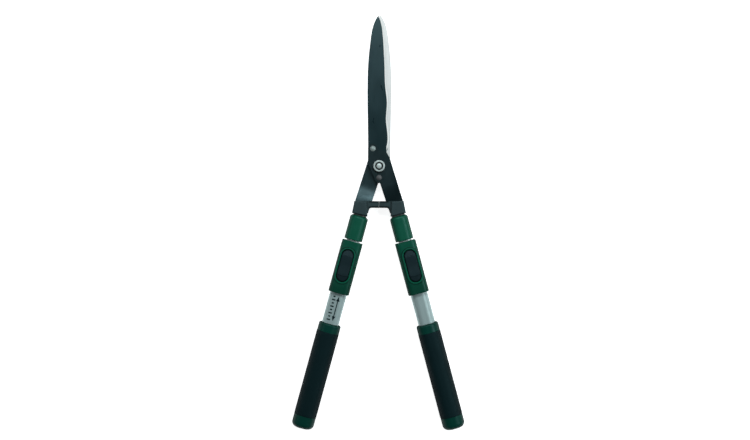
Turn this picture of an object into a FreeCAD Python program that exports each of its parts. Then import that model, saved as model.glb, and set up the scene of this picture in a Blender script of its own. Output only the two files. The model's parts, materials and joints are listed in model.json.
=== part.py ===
"""Telescopic hedge shears, closed and retracted, lying on their back.

+Z points up through the pivot bolt's head, +Y towards the blade tips, +X towards the
right handle. The origin is the middle of the underside. The front blade belongs to the
right handle and the rear blade to the left one; the rear half is the front half turned
over about Y. Handle parts are drawn along -Y in a handle frame: w across, s down the
handle from the pivot's level, z up. All sizes are in millimetres.
"""
import FreeCAD
import Part
import math
import os

from FreeCAD import Vector

# Where the pivot stands over the origin
PIVOT_Y = 95.3
PIVOT_Z = 17.0

# The two halves
HANDLE_ANGLE = 15.1  # each handle's axis from the shears' middle line, degrees
HANDLE_OFFSET = 10.0  # from the middle line to the handle's axis, level with the pivot
MATING_GAP = 0.05  # between the two blades
RUNNING_GAP = 0.07  # between parts that turn or slide on each other

# Blades and tangs
BLADE_THICKNESS = 3.0
TIP_Y = 256.4
BEVEL_WIDTH = 2.2
BEVEL_DEPTH = 2.5
TANG_THICKNESS = 3.5
TANG_ANGLE = 18.9
JOGGLE_START = 36.0  # along the tang from the pivot
JOGGLE_END = 68.0
UPPER_LOBE_R = 8.2  # of the tang, round the upper rivet
LOWER_LOBE_R = 7.9
TAIL_WIDTH = 15.0
TAIL_START = 56.0  # along the handle
TAIL_END = 124.0
PIVOT_R = 5.0
UPPER_RIVET = (-10.8, 29.6)
LOWER_RIVET = (0.0, -19.5)
RIVET_R = 3.0
RIVET_HEAD_R = 4.75
RIVET_HEAD_RISE = 1.8

# Pivot hardware
WASHER_THICKNESS = 1.2
WASHER_R = 11.7
WASHER_TEETH = 24
HEAD_R = 9.6
HEAD_HEIGHT = 4.0
HEAD_ROUND = 0.8
HEAD_GROOVE = (4.7, 6.9)  # inner and outer radius
HEAD_GROOVE_DEPTH = 1.0
BUTTON_RISE = 0.5  # dome inside the groove
REAR_WASHER_R = 10.5
REAR_WASHER_THICKNESS = 1.5
NUT_ACROSS = 17.0
INSERT_R = 6.6
INSERT_HEIGHT = 2.6

# Ferrules
FERRULE_DEPTH = 21.0
FERRULE_ROUND = 2.4
ARM_DEPTH = 15.0
ARM_ROUND = 3.4
ARM_TOP = -59.4
ARM_BOTTOM = -70.7
ARM_END_GAP = 0.1  # from each arm's end to the middle line
PAD_LENGTH = 8.0
PAD_HEIGHT = 4.6

# Tubes: width, depth
WALL = 1.2
INNER_TUBE = (23.0, 15.0)
OUTER_TUBE = (29.0, 21.0)
INNER_START = 66.0
INNER_END = 410.0
OUTER_START = 146.0
OUTER_END = 441.0
TANG_RIVETS_AT = (98.0, 116.0)
TANG_RIVET_R = 2.0

# Lock: a pin in the rocker's upper end drops into one of a row of holes
LOCK_AT = 157.0
LOCK_OUTWARD = 1.5  # from the handle's axis, away from the other handle
HOLE_PITCH = 33.0
HOLE_COUNT = 7
LOCK_PIN_R = 2.5
LOCK_PIN_TOP = 14.55
LOCK_NECK = (12.2, 13.75)  # bottom and top of the pin's neck
LOCK_NECK_R = 1.3
LEVER_PIVOT = (175.0, 14.4)  # s, z
LEVER_PIN_R = 1.5
LEVER_PIN_START = -13.6  # across the handle
LEVER_PIN_LENGTH = 27.2
LEVER_WIDTH = 19.2
LEVER_ENDS = (147.0, 201.6)
LEVER_UNDERSIDE = 15.0
LEVER_CROWN = (  # s, z along the rocker's top
    (148.0, 15.8), (153.5, 17.6), (160.0, 18.4), (175.5, 17.2), (189.5, 18.6), (197.5, 17.9), (202.6, 16.6),
)
HANGER_WIDTH = 10.8
HANGER_LENGTH = 10.0
HANGER_WALL = 1.4
HANGER_FLOOR = 12.6
HANGER_THICKNESS = 0.8
POCKET_FLOOR = 12.0
POCKET_MARGIN = 1.3
RIM_WIDTH = 3.0  # raised rim round the pocket
RIM_TOP = 18.2
RIM_ROUND = 1.4
SPRING_AT = (180.0, 185.0, 197.0)  # foot, bend, tip
SPRING_WIDTH = 7.0
SPRING_THICKNESS = 0.4

# Mouldings: start and end along the handle, and sizes as width and depth
COLLAR = (87.4, 129.8)
COLLAR_SIZE = (31.0, 25.0)
HOUSING = (132.4, 222.6)
HOUSING_WIDTH = 35.5
HOUSING_BACK = -14.5
HOUSING_FRONT = 17.5
HOUSING_CORNER = 9.0
FLANGE_INSET = 1.6  # from the housing's mouth to the guide bush
SCREWS_AT = (168.0, 208.0)
SCREW_R = 1.5
SCREW_BORE_R = 3.0
SCREW_HEAD_R = 2.8
SCREW_HEAD_HEIGHT = 1.9
SCREW_BORE_DEPTH = 2.2
SCREW_SLOT = (3.4, 0.8, 1.0)  # length, width, depth of each arm of the cross
GRIP_COLLAR = (276.7, 291.4)
GRIP_COLLAR_SIZE = (37.8, 33.0)
GRIP = (291.4, 438.2)
GRIP_SIZE = (38.4, 34.0)
CAP_END = 460.0
CAP_SIZE = (37.8, 33.2)

Z_AXIS = Vector(0, 0, 1)
FRONT = MATING_GAP / 2 + BLADE_THICKNESS  # height of the front blade's outer face
TANG_TOP = FRONT + TANG_THICKNESS


# --- drawing helpers -------------------------------------------------------

def polygon(points):
    """A flat face in plan through the given (x, y) corners."""
    corners = [Vector(x, y, 0) for x, y in points]
    return Part.Face(Part.makePolygon(corners + corners[:1]))


def prism(face, low, high):
    """The face, drawn at z = 0, as a solid from z = low to z = high."""
    lifted = face.copy()
    lifted.translate(Vector(0, 0, low))
    return lifted.extrude(Vector(0, 0, high - low))


def disc(r, low, high, at=(0.0, 0.0)):
    """An upright cylinder between two heights."""
    return Part.makeCylinder(r, high - low, Vector(at[0], at[1], low))


def spline(points, start=None, end=None):
    """A smooth curve through the given vectors, with optional end directions."""
    curve = Part.BSplineCurve()
    if start is None:
        curve.interpolate(points)
    else:
        curve.interpolate(Points=points, InitialTangent=start, FinalTangent=end)
    return curve


def oval_rod(width, depth, start, end):
    """A flat-oval bar along the handle: half-round sides and flat front and back."""
    r = depth / 2
    half = width / 2 - r
    y = -start
    edges = [
        Part.LineSegment(Vector(-half, y, r), Vector(half, y, r)),
        Part.Arc(Vector(half, y, r), Vector(half + r, y, 0), Vector(half, y, -r)),
        Part.LineSegment(Vector(half, y, -r), Vector(-half, y, -r)),
        Part.Arc(Vector(-half, y, -r), Vector(-half - r, y, 0), Vector(-half, y, r)),
    ]
    wire = Part.Wire([e.toShape() for e in edges])
    return Part.Face(wire).extrude(Vector(0, start - end, 0))


def shrunk(size, by):
    """An oval's (width, depth) taken in by the same amount all round."""
    return size[0] - 2 * by, size[1] - 2 * by


def stadium(width, start, end, low, high):
    """An upright slot shape in plan along the handle, between two heights."""
    r = width / 2
    body = Part.makeBox(width, end - start - width, high - low, Vector(-r, r - end, low))
    for centre in (-start - r, r - end):
        body = body.fuse(disc(r, low, high, (0.0, centre)))
    return body.removeSplitter()


def rim_edges(shape, s):
    """The edges of the end face that stands across the handle at s."""
    face = [f for f in shape.Faces if f.BoundBox.YLength < 1e-6 and abs(f.BoundBox.YMax + s) < 1e-6]
    return face[0].OuterWire.Edges


def shifted(shape, x):
    """The same part moved across the handle."""
    copy = shape.copy()
    copy.translate(Vector(x, 0, 0))
    return copy


def turned_over(shape):
    """The same part on the other half of the shears: half a turn about Y."""
    copy = shape.copy()
    copy.rotate(Vector(0, 0, 0), Vector(0, 1, 0), 180)
    return copy


def on_handle(shape, side):
    """Moves a part from the handle frame to the right (+1) or left (-1) handle."""
    copy = shape.copy()
    copy.rotate(Vector(0, 0, 0), Z_AXIS, side * HANDLE_ANGLE)
    copy.translate(Vector(side * HANDLE_OFFSET, 0, 0))
    return copy


# --- blades, tangs and pivot -------------------------------------------------

def blade_rivets():
    """Two domed rivets, flush with the blade's inner face."""
    solids = []
    for at in (UPPER_RIVET, LOWER_RIVET):
        low = MATING_GAP / 2
        shank = disc(RIVET_R, low, TANG_TOP, at)
        foot = Part.makeCone(RIVET_R + 1.0, RIVET_R, 1.0, Vector(at[0], at[1], low))
        ball_r = (RIVET_HEAD_R**2 + RIVET_HEAD_RISE**2) / (2 * RIVET_HEAD_RISE)
        ball = Part.makeSphere(ball_r, Vector(at[0], at[1], TANG_TOP + RIVET_HEAD_RISE - ball_r))
        head = ball.common(disc(RIVET_HEAD_R, TANG_TOP, TANG_TOP + 3.0, at))
        solids.append(shank.fuse([foot, head]).removeSplitter())
    return solids


def blade():
    """The front blade: spine on the left, wavy cutting edge on the right."""
    spine = spline([
        Vector(-18.9, 8.0, 0),
        Vector(-19.2, 60.0, 0),
        Vector(-20.2, 133.0, 0),
        Vector(-18.9, 178.0, 0),
        Vector(-15.2, 214.7, 0),
        Vector(-8.3, 245.3, 0),
        Vector(-1.7, TIP_Y, 0),
    ])
    edge = spline([
        Vector(-0.6, TIP_Y, 0),
        Vector(4.8, 243.0, 0),
        Vector(7.9, 222.0, 0),
        Vector(10.1, 190.0, 0),
        Vector(11.3, 160.0, 0),
        Vector(12.3, 135.0, 0),
        Vector(15.3, 106.0, 0),
        Vector(13.7, 79.6, 0),
        Vector(16.6, 51.5, 0),
        Vector(12.3, 26.0, 0),
    ])
    sides = [
        spine.toShape(),
        Part.makeLine(Vector(-1.7, TIP_Y, 0), Vector(-0.6, TIP_Y, 0)),
        edge.toShape(),
        Part.makeLine(Vector(12.3, 26.0, 0), Vector(12.6, 8.0, 0)),
        Part.makeLine(Vector(12.6, 8.0, 0), Vector(7.6, -20.5, 0)),
        Part.Arc(Vector(7.6, -20.5, 0), Vector(0, -27.4, 0), Vector(-7.6, -20.5, 0)).toShape(),
        Part.makeLine(Vector(-7.6, -20.5, 0), Vector(-18.9, 8.0, 0)),
    ]
    plate = prism(Part.Face(Part.Wire(sides)), MATING_GAP / 2, FRONT)
    wavy = [
        e for e in plate.Edges
        if e.BoundBox.ZMin > FRONT - 1e-6 and e.BoundBox.XMax > 16 and e.BoundBox.YLength > 200
    ]
    return plate.makeChamfer(BEVEL_WIDTH, BEVEL_DEPTH, wavy)


def tang_outline():
    """The front tang's plan as a tall block: blade plate, heel, arm and the hidden tail."""
    angle = math.radians(HANDLE_ANGLE)
    along = Vector(math.sin(angle), -math.cos(angle), 0)
    across = Vector(math.cos(angle), math.sin(angle), 0)
    start = Vector(HANDLE_OFFSET, 0, 0)
    tail = [
        start + along * s + across * w
        for s, w in (
            (TAIL_START, TAIL_WIDTH / 2),
            (TAIL_END, TAIL_WIDTH / 2),
            (TAIL_END, -TAIL_WIDTH / 2),
            (TAIL_START, -TAIL_WIDTH / 2),
        )
    ]
    arm = polygon([
        (-19.0, 30.0), (-4.0, 27.4), (10.6, 26.0), (17.4, 15.2), (19.4, 9.0),
        (40.6, -58.4), (13.0, -63.6), (1.6, -29.0), (-6.0, -25.6), (-19.0, 6.0),
    ])
    low, high = -10, 20
    return prism(arm, low, high).fuse([
        prism(polygon([(v.x, v.y) for v in tail]), low, high),
        disc(UPPER_LOBE_R, low, high, UPPER_RIVET),
        disc(LOWER_LOBE_R, low, high, LOWER_RIVET),
    ])


def tang_profile():
    """The tang's side view as a wide bar: flat on the blade, then joggled to mid height."""
    drop = FRONT + TANG_THICKNESS / 2
    high = [
        spline(
            [Vector(0, -JOGGLE_START, z), Vector(0, -JOGGLE_END, z - drop)],
            Vector(0, -1, 0) * 24,
            Vector(0, -1, 0) * 24,
        )
        for z in (TANG_TOP, FRONT)
    ]
    far, near = -2 * TAIL_END, 60.0
    sides = [
        Part.makeLine(Vector(0, near, TANG_TOP), Vector(0, -JOGGLE_START, TANG_TOP)),
        high[0].toShape(),
        Part.makeLine(Vector(0, -JOGGLE_END, TANG_TOP - drop), Vector(0, far, TANG_TOP - drop)),
        Part.makeLine(Vector(0, far, TANG_TOP - drop), Vector(0, far, FRONT - drop)),
        Part.makeLine(Vector(0, far, FRONT - drop), Vector(0, -JOGGLE_END, FRONT - drop)),
        high[1].toShape(),
        Part.makeLine(Vector(0, -JOGGLE_START, FRONT), Vector(0, near, FRONT)),
        Part.makeLine(Vector(0, near, FRONT), Vector(0, near, TANG_TOP)),
    ]
    face = Part.Face(Part.Wire(sides))
    face.translate(Vector(-100, 0, 0))
    bar = face.extrude(Vector(200, 0, 0))
    bar.rotate(Vector(0, 0, 0), Z_AXIS, TANG_ANGLE)
    return bar


def tang():
    """A pressed steel arm: its outline in plan cut from its side profile."""
    return tang_outline().common(tang_profile()).removeSplitter()


def pivot_bolt():
    """Round head with a ring groove round a domed button, on a plain shank."""
    low = TANG_TOP + MATING_GAP + WASHER_THICKNESS
    top = low + HEAD_HEIGHT
    head = disc(HEAD_R, low, top)
    rim = [e for e in head.Edges if e.BoundBox.ZMin > top - 1e-6]
    head = head.makeFillet(HEAD_ROUND, rim)
    inner, outer = HEAD_GROOVE
    sunk = disc(outer, top - HEAD_GROOVE_DEPTH, top + 1)
    ball_r = (inner**2 + BUTTON_RISE**2) / (2 * BUTTON_RISE)
    ball = Part.makeSphere(ball_r, Vector(0, 0, top - ball_r))
    button = ball.common(disc(inner, top - HEAD_GROOVE_DEPTH - 1, top))
    shank = disc(PIVOT_R, 0.3 - PIVOT_Z, low)
    return shank.fuse(head).removeSplitter().cut(sunk).fuse(button).removeSplitter()


def hexagon(across, low, high):
    """A hexagonal prism about the pivot's axis, by its size across flats."""
    r = across / math.sqrt(3)
    corners = [(r * math.cos(a), r * math.sin(a)) for a in (math.radians(60 * n) for n in range(6))]
    return prism(polygon(corners), low, high)


def tension_washer():
    """A toothed washer between the bolt's head and the front tang."""
    low = TANG_TOP + MATING_GAP
    corners = []
    for n in range(2 * WASHER_TEETH):
        r = WASHER_R if n % 2 else WASHER_R - 1.1
        a = math.pi * n / WASHER_TEETH
        corners.append((r * math.cos(a), r * math.sin(a)))
    plate = prism(polygon(corners), low, low + WASHER_THICKNESS)
    return plate.cut(disc(PIVOT_R + 0.02, low - 1, low + 3))


def rear_washer():
    """A plain washer between the rear tang and the nut."""
    ring = disc(REAR_WASHER_R, -TANG_TOP - REAR_WASHER_THICKNESS, -TANG_TOP)
    return ring.cut(disc(PIVOT_R, -PIVOT_Z, 0))


def lock_nut():
    """A hexagon nut with a round nose that holds the locking ring."""
    top = -TANG_TOP - REAR_WASHER_THICKNESS
    nose = disc(NUT_ACROSS / 2 - 0.2, -PIVOT_Z, -PIVOT_Z + 2.4)
    nut = hexagon(NUT_ACROSS, -PIVOT_Z + 2.4, top).fuse(nose)
    nut = nut.cut(disc(PIVOT_R, -PIVOT_Z - 1, 0))
    return nut.cut(disc(INSERT_R, -PIVOT_Z - 1, INSERT_HEIGHT - PIVOT_Z))


def lock_nut_insert():
    """The nylon ring in the nut's nose."""
    ring = disc(INSERT_R, 0.15 - PIVOT_Z, INSERT_HEIGHT - PIVOT_Z)
    return ring.cut(disc(PIVOT_R, -PIVOT_Z - 1, 0))


# --- upper part of the handle ------------------------------------------------

def inner_tube(lock_x):
    """The inner telescopic tube, with its lock holes and rivet holes."""
    width, depth = INNER_TUBE
    tube = oval_rod(width, depth, INNER_START, INNER_END)
    tube = tube.cut(oval_rod(*shrunk(INNER_TUBE, WALL), INNER_START - 1, INNER_END + 1))
    holes = [
        disc(LOCK_PIN_R + RUNNING_GAP, 0, depth, (lock_x, -LOCK_AT - HOLE_PITCH * n))
        for n in range(HOLE_COUNT)
    ]
    holes += [disc(TANG_RIVET_R, -depth, depth, (0.0, -s)) for s in TANG_RIVETS_AT]
    return tube.cut(holes)


def tang_rivets():
    """Two cross rivets with low heads on the tube's flats."""
    top = INNER_TUBE[1] / 2
    solids = []
    for s in TANG_RIVETS_AT:
        shank = disc(TANG_RIVET_R, -top, top, (0.0, -s))
        heads = [disc(TANG_RIVET_R + 1.5, low, low + 1.0, (0.0, -s)) for low in (top, -top - 1.0)]
        solids.append(shank.fuse(heads).removeSplitter())
    return solids


def tang_plug(tail):
    """The moulded filler round the tang's tail inside the tube."""
    plug = oval_rod(*shrunk(INNER_TUBE, WALL), INNER_START + 1, TAIL_END + 4)
    holes = [disc(TANG_RIVET_R, -20, 20, (0.0, -s)) for s in TANG_RIVETS_AT]
    return plug.cut(tail).cut(holes)


def ferrule_blank():
    """The right ferrule before its sockets are cut: a body and the bumper arm."""
    body = prism(
        polygon([(20.4, -59.2), (41.6, -58.8), (45.8, -79.2), (19.6, -85.6)]),
        -FERRULE_DEPTH / 2,
        FERRULE_DEPTH / 2,
    )
    body = body.makeFillet(FERRULE_ROUND, [e for e in body.Edges if abs(e.BoundBox.ZLength) < 1e-6])
    arm = prism(
        polygon([
            (ARM_END_GAP, ARM_TOP), (26.0, ARM_TOP), (26.0, -80.0), (18.6, -80.0),
            (16.0, ARM_BOTTOM), (ARM_END_GAP, ARM_BOTTOM),
        ]),
        -ARM_DEPTH / 2,
        ARM_DEPTH / 2,
    )
    corner = [
        e for e in arm.Edges
        if e.BoundBox.ZLength > 1 and abs(e.BoundBox.YMin - ARM_BOTTOM) < 1e-6
        and abs(e.BoundBox.XMin - 16.0) < 1e-6
    ]
    arm = arm.makeFillet(5.0, corner)
    long_edges = [
        e for e in arm.Edges
        if e.BoundBox.ZLength < 1e-6 and e.BoundBox.XMax < 25 and e.BoundBox.XLength > 1e-6
    ]
    arm = arm.makeFillet(ARM_ROUND, long_edges)
    return body.fuse(arm).removeSplitter()


def bumper_pad():
    """The rubber buffer across the end of the right arm."""
    middle = (ARM_TOP + ARM_BOTTOM) / 2
    return Part.makeBox(
        PAD_LENGTH, PAD_HEIGHT, ARM_DEPTH,
        Vector(MATING_GAP / 2, middle - PAD_HEIGHT / 2, -ARM_DEPTH / 2),
    )


def tube_collar():
    """A green sleeve on the inner tube, hollowed over the rivet heads."""
    collar = oval_rod(*COLLAR_SIZE, *COLLAR)
    collar = collar.makeFillet(5.0, rim_edges(collar, COLLAR[0]))
    collar = collar.makeFillet(1.2, rim_edges(collar, COLLAR[1]))
    collar = collar.cut(oval_rod(*INNER_TUBE, COLLAR[0] - 1, COLLAR[1] + 1))
    first, last = TANG_RIVETS_AT
    room = INNER_TUBE[1] / 2 + 1.2
    return collar.cut(stadium(2 * (TANG_RIVET_R + 1.8), first - 5, last + 5, -room, room))


def tube_glide():
    """The glide plugged into the inner tube's far end, running in the outer tube."""
    bore = shrunk(shrunk(OUTER_TUBE, WALL), RUNNING_GAP)
    foot = oval_rod(*bore, INNER_END, INNER_END + 12)
    spigot = oval_rod(*shrunk(INNER_TUBE, WALL), INNER_END - 15, INNER_END)
    return foot.fuse(spigot).removeSplitter()


# --- lower, sliding part of the handle -----------------------------------------

def outer_tube(lock_x):
    """The bare aluminium tube, with its lock hole and two screw holes."""
    tube = oval_rod(*OUTER_TUBE, OUTER_START, OUTER_END)
    tube = tube.cut(oval_rod(*shrunk(OUTER_TUBE, WALL), OUTER_START - 1, OUTER_END + 1))
    holes = [disc(LOCK_PIN_R + RUNNING_GAP, 0, 20, (lock_x, -LOCK_AT))]
    holes += [disc(SCREW_R, -20, 0, (0.0, -s)) for s in SCREWS_AT]
    return tube.cut(holes)


def guide_bush():
    """The flanged bush in the outer tube's mouth."""
    start = HOUSING[0] + FLANGE_INSET
    flange = oval_rod(*OUTER_TUBE, start, OUTER_START)
    spigot = oval_rod(*shrunk(OUTER_TUBE, WALL), OUTER_START, LOCK_AT - LOCK_PIN_R - 2.5)
    bore = oval_rod(*shrunk(INNER_TUBE, -RUNNING_GAP), start - 1, LOCK_AT)
    return flange.fuse(spigot).removeSplitter().cut(bore)


def lock_housing(lock_x):
    """The green housing: a rounded block round the tube, with the rocker's rimmed pocket in front."""
    start, end = HOUSING
    half = HOUSING_WIDTH / 2
    block = Part.makeBox(
        HOUSING_WIDTH, end - start, HOUSING_FRONT - HOUSING_BACK, Vector(-half, -end, HOUSING_BACK)
    )
    corners = [e for e in block.Edges if e.BoundBox.YLength > 1]
    block = block.makeFillet(HOUSING_CORNER, corners)
    for s in HOUSING:
        block = block.makeFillet(0.9, rim_edges(block, s))
    block = block.fuse(shifted(around_lever(POCKET_MARGIN + RIM_WIDTH, RIM_TOP, RIM_ROUND), lock_x))
    block = block.cut(oval_rod(*OUTER_TUBE, start + FLANGE_INSET, end + 1))
    block = block.cut(oval_rod(*shrunk(INNER_TUBE, -0.6), start - 1, start + 2))
    s, z = LEVER_PIVOT
    axle = Part.makeCylinder(LEVER_PIN_R, 40, Vector(LEVER_PIN_START, -s, z), Vector(1, 0, 0))
    pin_hole = disc(LOCK_PIN_R + RUNNING_GAP, 0, 20, (lock_x, -LOCK_AT))
    block = block.cut([shifted(around_lever(POCKET_MARGIN, 30), lock_x), axle, pin_hole])
    for at in SCREWS_AT:
        block = block.cut(disc(SCREW_R, -20, 0, (0.0, -at)))
        block = block.cut(disc(SCREW_BORE_R, -20, HOUSING_BACK + SCREW_BORE_DEPTH, (0.0, -at)))
    return block


def around_lever(margin, top, rounding=0.0):
    """The rocker's plan grown by a margin, from the pocket's floor up to a rounded top edge."""
    first, last = LEVER_ENDS
    body = stadium(LEVER_WIDTH + 2 * margin, first - margin, last + margin, POCKET_FLOOR, top)
    if rounding:
        body = body.makeFillet(rounding, [e for e in body.Edges if e.BoundBox.ZMin > top - 1e-6])
    return body


def housing_screws():
    """Two pan-head screws with cross slots, from the back into the tube's wall."""
    solids = []
    face = HOUSING_BACK + SCREW_BORE_DEPTH
    low = face - SCREW_HEAD_HEIGHT
    length, width, depth = SCREW_SLOT
    for s in SCREWS_AT:
        head = disc(SCREW_HEAD_R, low, face, (0.0, -s))
        shank = disc(SCREW_R, face, -OUTER_TUBE[1] / 2 + WALL + 0.6, (0.0, -s))
        screw = head.fuse(shank).removeSplitter()
        for x, y in ((length, width), (width, length)):
            screw = screw.cut(Part.makeBox(x, y, depth, Vector(-x / 2, -s - y / 2, low)))
        solids.append(screw)
    return solids


def lock_lever():
    """The rocker: two crowned pads with a dish between, an axle boss and the pin's hanger."""
    first, last = LEVER_ENDS
    s0, z0 = LEVER_PIVOT
    top = spline([Vector(0, -s, z) for s, z in LEVER_CROWN])
    near, far = Vector(0, -LEVER_CROWN[0][0], 0), Vector(0, -LEVER_CROWN[-1][0], 0)
    low = Vector(0, 0, LEVER_UNDERSIDE)
    sides = [
        top.toShape(),
        Part.makeLine(top.EndPoint, far + low),
        Part.makeLine(far + low, near + low),
        Part.makeLine(near + low, top.StartPoint),
    ]
    profile = Part.Face(Part.Wire(sides))
    profile.translate(Vector(-LEVER_WIDTH, 0, 0))
    slab = stadium(LEVER_WIDTH, first, last, LEVER_UNDERSIDE, 25)
    lever = slab.common(profile.extrude(Vector(2 * LEVER_WIDTH, 0, 0)))
    boss = Part.makeCylinder(2.3, LEVER_WIDTH - 2, Vector(1 - LEVER_WIDTH / 2, -s0, z0), Vector(1, 0, 0))
    half = HANGER_WIDTH / 2
    back = -LOCK_AT - HANGER_LENGTH / 2
    height = LEVER_UNDERSIDE + 0.8 - HANGER_FLOOR
    cheeks = [
        Part.makeBox(HANGER_WALL, HANGER_LENGTH, height, Vector(x, back, HANGER_FLOOR))
        for x in (-half, half - HANGER_WALL)
    ]
    shelf = Part.makeBox(HANGER_WIDTH, HANGER_LENGTH, HANGER_THICKNESS, Vector(-half, back, HANGER_FLOOR))
    lever = lever.fuse([boss, shelf] + cheeks).removeSplitter()
    bore = Part.makeCylinder(LEVER_PIN_R + RUNNING_GAP, 40, Vector(-20, -s0, z0), Vector(1, 0, 0))
    slot = 2 * (LOCK_NECK_R + 0.5)
    neck_slot = Part.makeBox(slot, 12, 3.0, Vector(-slot / 2, -LOCK_AT - 2, 11.0))
    room = HANGER_WIDTH - 2 * HANGER_WALL
    head_room = Part.makeBox(room, HANGER_LENGTH, 0.4, Vector(-room / 2, back, LEVER_UNDERSIDE))
    return lever.cut([bore, neck_slot, head_room])


def lever_pin():
    """The rocker's steel axle, pressed in from one side."""
    s, z = LEVER_PIVOT
    return Part.makeCylinder(LEVER_PIN_R, LEVER_PIN_LENGTH, Vector(LEVER_PIN_START, -s, z), Vector(1, 0, 0))


def lock_pin():
    """The locking pin: a stem, a neck in the rocker's hanger, and a head above it."""
    tip = INNER_TUBE[1] / 2 - WALL - 0.1
    at = (0.0, -LOCK_AT)
    low, high = LOCK_NECK
    stem = disc(LOCK_PIN_R, tip, low, at)
    stem = stem.makeChamfer(0.5, [e for e in stem.Edges if e.BoundBox.ZMax < tip + 1e-6])
    neck = disc(LOCK_NECK_R, low, high, at)
    return stem.fuse([neck, disc(LOCK_PIN_R, high, LOCK_PIN_TOP, at)]).removeSplitter()


def lock_spring():
    """The rocker's return spring: a leaf with its foot on the pocket's floor."""
    first, bend, last = SPRING_AT
    low = POCKET_FLOOR + 0.02
    high = LEVER_UNDERSIDE - 0.1
    t = SPRING_THICKNESS
    corners = [(first, low), (bend, low), (last, high - t), (last, high), (bend, low + t), (first, low + t)]
    leaf = Part.Face(Part.makePolygon([Vector(0, -s, z) for s, z in corners + corners[:1]]))
    leaf.translate(Vector(-SPRING_WIDTH / 2, 0, 0))
    return leaf.extrude(Vector(SPRING_WIDTH, 0, 0))


def grip_collar():
    """The green ring at the top of the grip."""
    ring = oval_rod(*GRIP_COLLAR_SIZE, *GRIP_COLLAR)
    ring = ring.makeFillet(3.0, rim_edges(ring, GRIP_COLLAR[0]))
    return ring.cut(oval_rod(*OUTER_TUBE, GRIP_COLLAR[0] - 1, GRIP_COLLAR[1] + 1))


def grip():
    """The black grip sleeve."""
    sleeve = oval_rod(*GRIP_SIZE, *GRIP)
    for s in GRIP:
        sleeve = sleeve.makeFillet(0.6, rim_edges(sleeve, s))
    return sleeve.cut(oval_rod(*OUTER_TUBE, GRIP[0] - 1, GRIP[1] + 1))


def end_cap():
    """The green end cap, with a spigot plugged into the outer tube."""
    cap = oval_rod(*CAP_SIZE, GRIP[1], CAP_END)
    cap = cap.makeFillet(8.5, rim_edges(cap, CAP_END))
    cap = cap.cut(oval_rod(*OUTER_TUBE, GRIP[1] - 1, OUTER_END))
    spigot = oval_rod(*shrunk(OUTER_TUBE, WALL), OUTER_END - 12, OUTER_END)
    return cap.fuse(spigot).removeSplitter()


# --- assembly ------------------------------------------------------------------

def blade_parts():
    """Both blades with their tangs and rivets, and the pivot hardware."""
    rivets = blade_rivets()
    hole = disc(PIVOT_R + RUNNING_GAP, -30, 30)
    front_blade = blade().cut(rivets + [hole])
    front_tang = tang().cut(rivets + [hole])
    return {
        "front_blade": front_blade,
        "front_tang": front_tang,
        "front_blade_rivets": Part.makeCompound(rivets),
        "rear_blade": turned_over(front_blade),
        "rear_tang": turned_over(front_tang),
        "rear_blade_rivets": Part.makeCompound([turned_over(r) for r in rivets]),
        "pivot_bolt": pivot_bolt(),
        "tension_washer": tension_washer(),
        "rear_washer": rear_washer(),
        "lock_nut": lock_nut(),
        "lock_nut_insert": lock_nut_insert(),
    }


def ferrules(front_tang):
    """Both ferrules, cut to their tangs and tubes, and the right arm's buffer."""
    tube = on_handle(oval_rod(*INNER_TUBE, INNER_START, 120), 1)
    right = ferrule_blank().cut([front_tang, tube])
    pad = bumper_pad()
    return {
        "right_ferrule": right.cut(pad),
        "left_ferrule": turned_over(right),
        "bumper_pad": pad,
    }


def handle_parts(side, name, front_tang):
    """Every part of one handle, from its inner tube down to its end cap."""
    tail = front_tang if side > 0 else turned_over(front_tang)
    tail = tail.copy()
    tail.translate(Vector(-side * HANDLE_OFFSET, 0, 0))
    tail.rotate(Vector(0, 0, 0), Z_AXIS, -side * HANDLE_ANGLE)
    lock_x = side * LOCK_OUTWARD
    parts = {
        "inner_tube": inner_tube(lock_x),
        "tang_plug": tang_plug(tail),
        "tang_rivets": Part.makeCompound(tang_rivets()),
        "tube_collar": tube_collar(),
        "tube_glide": tube_glide(),
        "outer_tube": outer_tube(lock_x),
        "guide_bush": guide_bush(),
        "lock_housing": lock_housing(lock_x),
        "housing_screws": Part.makeCompound(housing_screws()),
        "lock_lever": shifted(lock_lever(), lock_x),
        "lever_pin": lever_pin(),
        "lock_pin": shifted(lock_pin(), lock_x),
        "lock_spring": shifted(lock_spring(), lock_x),
        "grip_collar": grip_collar(),
        "grip": grip(),
        "end_cap": end_cap(),
    }
    return {f"{name}_{part}": on_handle(shape, side) for part, shape in parts.items()}


def main():
    """Builds every part, drills the tangs for their rivets, and writes the files."""
    parts = blade_parts()
    rivet_holes = [on_handle(disc(TANG_RIVET_R, -20, 20, (0.0, -s)), 1) for s in TANG_RIVETS_AT]
    tang_drilled = parts["front_tang"].cut(rivet_holes)
    parts["front_tang"] = tang_drilled
    parts["rear_tang"] = turned_over(tang_drilled)
    parts.update(ferrules(tang_drilled))
    for side, name in ((1, "right"), (-1, "left")):
        parts.update(handle_parts(side, name, tang_drilled))
    os.makedirs("parts", exist_ok=True)
    for name, shape in parts.items():
        shape.translate(Vector(0, PIVOT_Y, PIVOT_Z))
        shape.exportStep(f"parts/{name}.step")


main()
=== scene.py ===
"""How the telescopic hedge shears look: finishes, rockers, leaf springs, grips, buffer, print,
floor and wall, light and camera.

Metres throughout, in the CAD model's own frame: the shears lie on their back with the
blades along +Y. Places and sizes come from the CAD nodes, the joints and the bounds.
"""

import json
import math

import bmesh
import bpy
from mathutils import Matrix, Vector


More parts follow.
